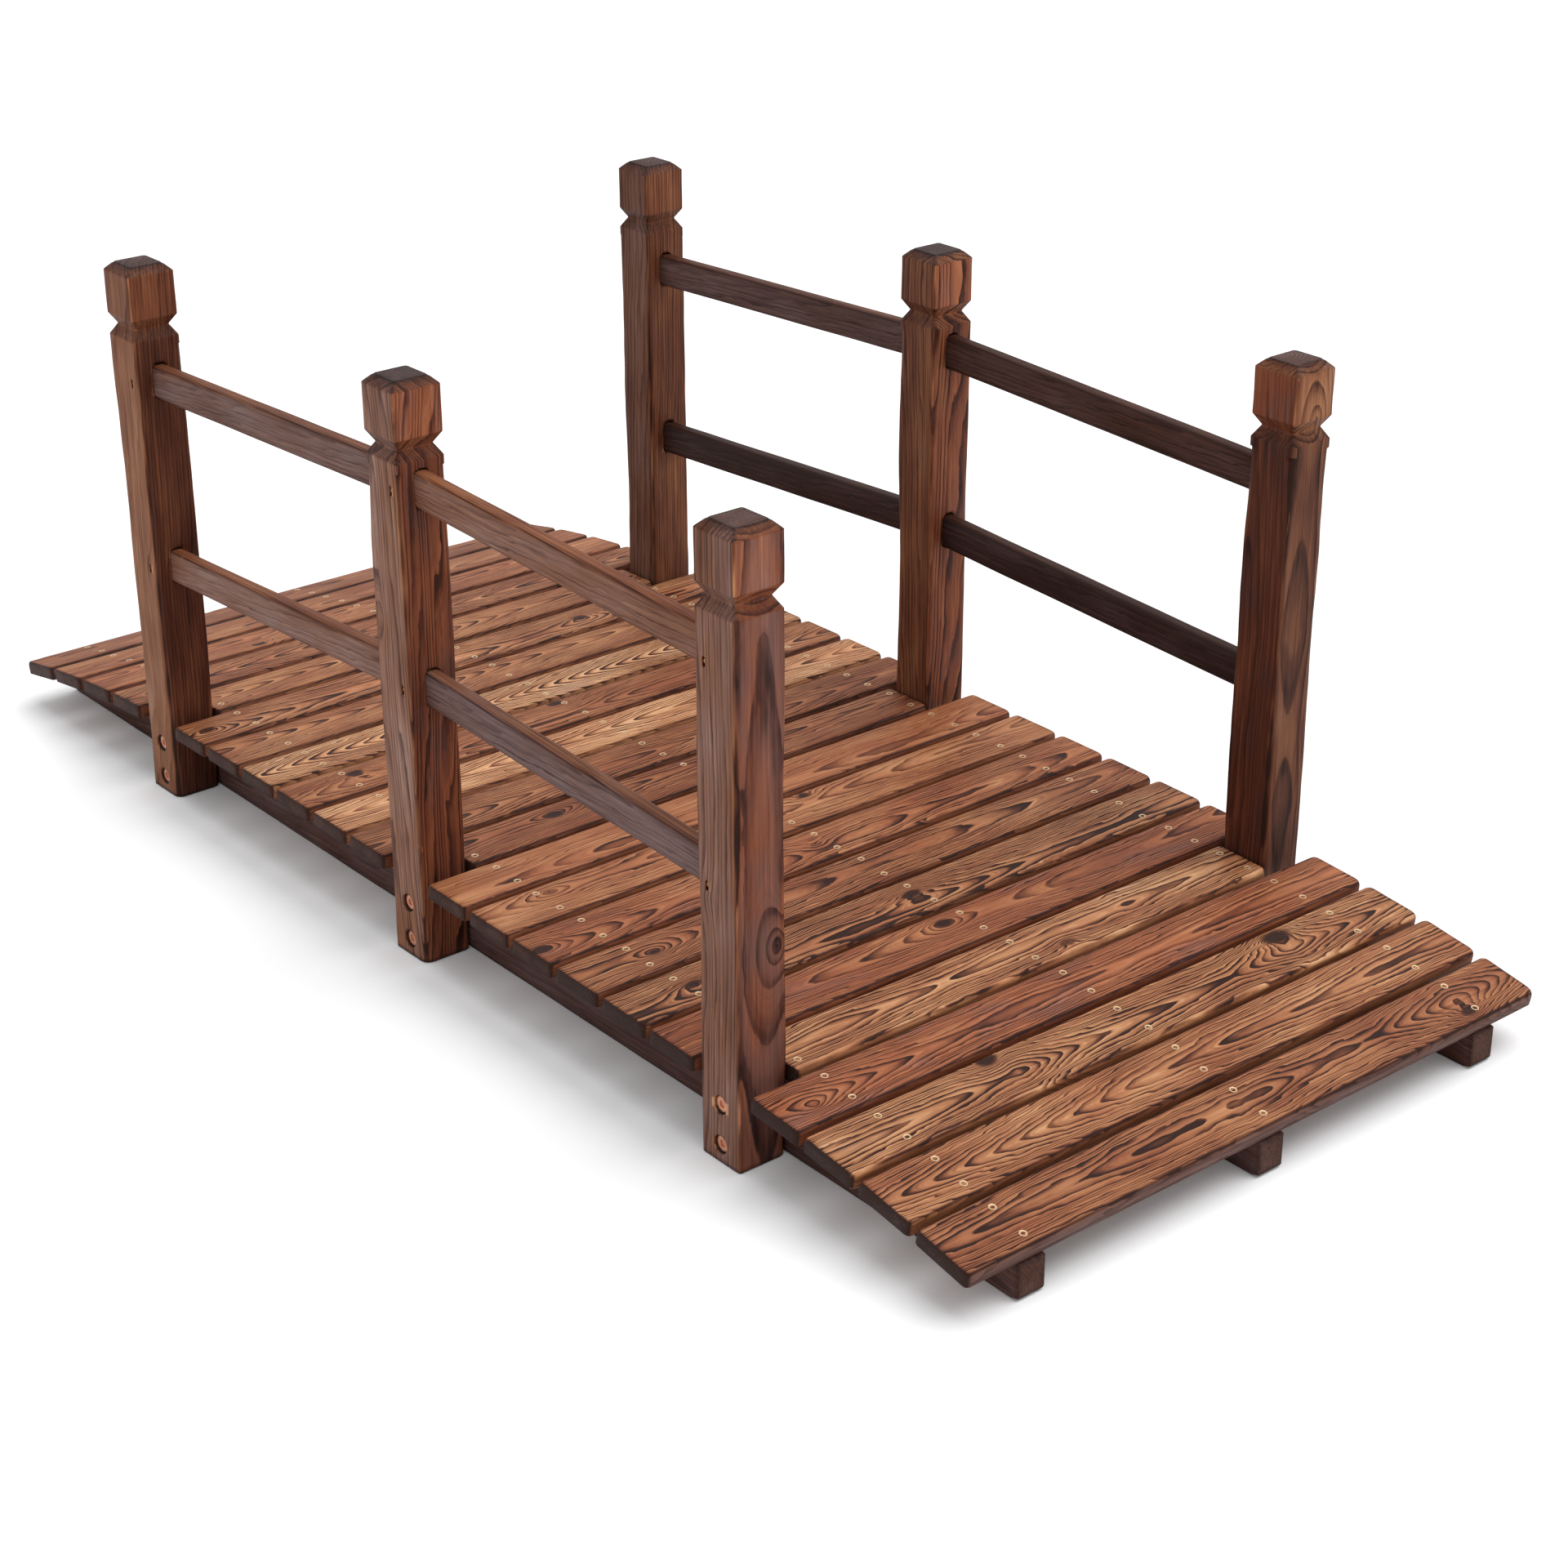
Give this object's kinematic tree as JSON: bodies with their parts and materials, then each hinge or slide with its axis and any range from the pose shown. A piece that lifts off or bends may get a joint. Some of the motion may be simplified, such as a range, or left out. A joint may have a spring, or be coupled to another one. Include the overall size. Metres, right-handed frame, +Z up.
{
  "type": "wooden garden footbridge",
  "caption": "Low arched timber garden footbridge: a plank deck on arched stringers, with post-and-rail sides of vee-necked, bevel-capped posts and mortised rails.",
  "frame": {"origin": "on the ground, at the middle of the bridge's length and width", "axes": "+X runs along the walkway, +Y across it towards the left side, +Z up"},
  "size_m": [1.5012, 0.664, 0.549],
  "materials": {
    "deck_wood": "scorched and brushed pine, satin, raised dark grain",
    "post_wood": "scorched and brushed pine, red-brown, satin, eased edges",
    "rail_wood": "scorched pine, smooth, dark grey-brown satin",
    "stringer_wood": "scorched pine, dark charcoal brown, satin",
    "bolt_metal": "copper-coloured plated steel, satin",
    "screw_metal": "pale brass-coloured plated steel, satin"
  },
  "bodies": {
    "root": {"plank_01": "deck_wood", "plank_02": "deck_wood", "plank_03": "deck_wood", "plank_04": "deck_wood", "plank_05": "deck_wood", "plank_06": "deck_wood", "plank_07": "deck_wood", "plank_08": "deck_wood", "plank_09": "deck_wood", "plank_10": "deck_wood", "plank_11": "deck_wood", "plank_12": "deck_wood", "plank_13": "deck_wood", "plank_14": "deck_wood", "plank_15": "deck_wood", "plank_16": "deck_wood", "plank_17": "deck_wood", "plank_18": "deck_wood", "plank_19": "deck_wood", "plank_20": "deck_wood", "plank_21": "deck_wood", "plank_22": "deck_wood", "plank_23": "deck_wood", "post_left_start": "post_wood", "post_left_middle": "post_wood", "post_left_finish": "post_wood", "post_right_start": "post_wood", "post_right_middle": "post_wood", "post_right_finish": "post_wood", "rail_upper_left_start": "rail_wood", "rail_upper_left_finish": "rail_wood", "rail_upper_right_start": "rail_wood", "rail_upper_right_finish": "rail_wood", "rail_lower_left_start": "rail_wood", "rail_lower_left_finish": "rail_wood", "rail_lower_right_start": "rail_wood", "rail_lower_right_finish": "rail_wood", "stringer_left": "stringer_wood", "stringer_centre": "stringer_wood", "stringer_right": "stringer_wood"}
  },
  "joints": []
}
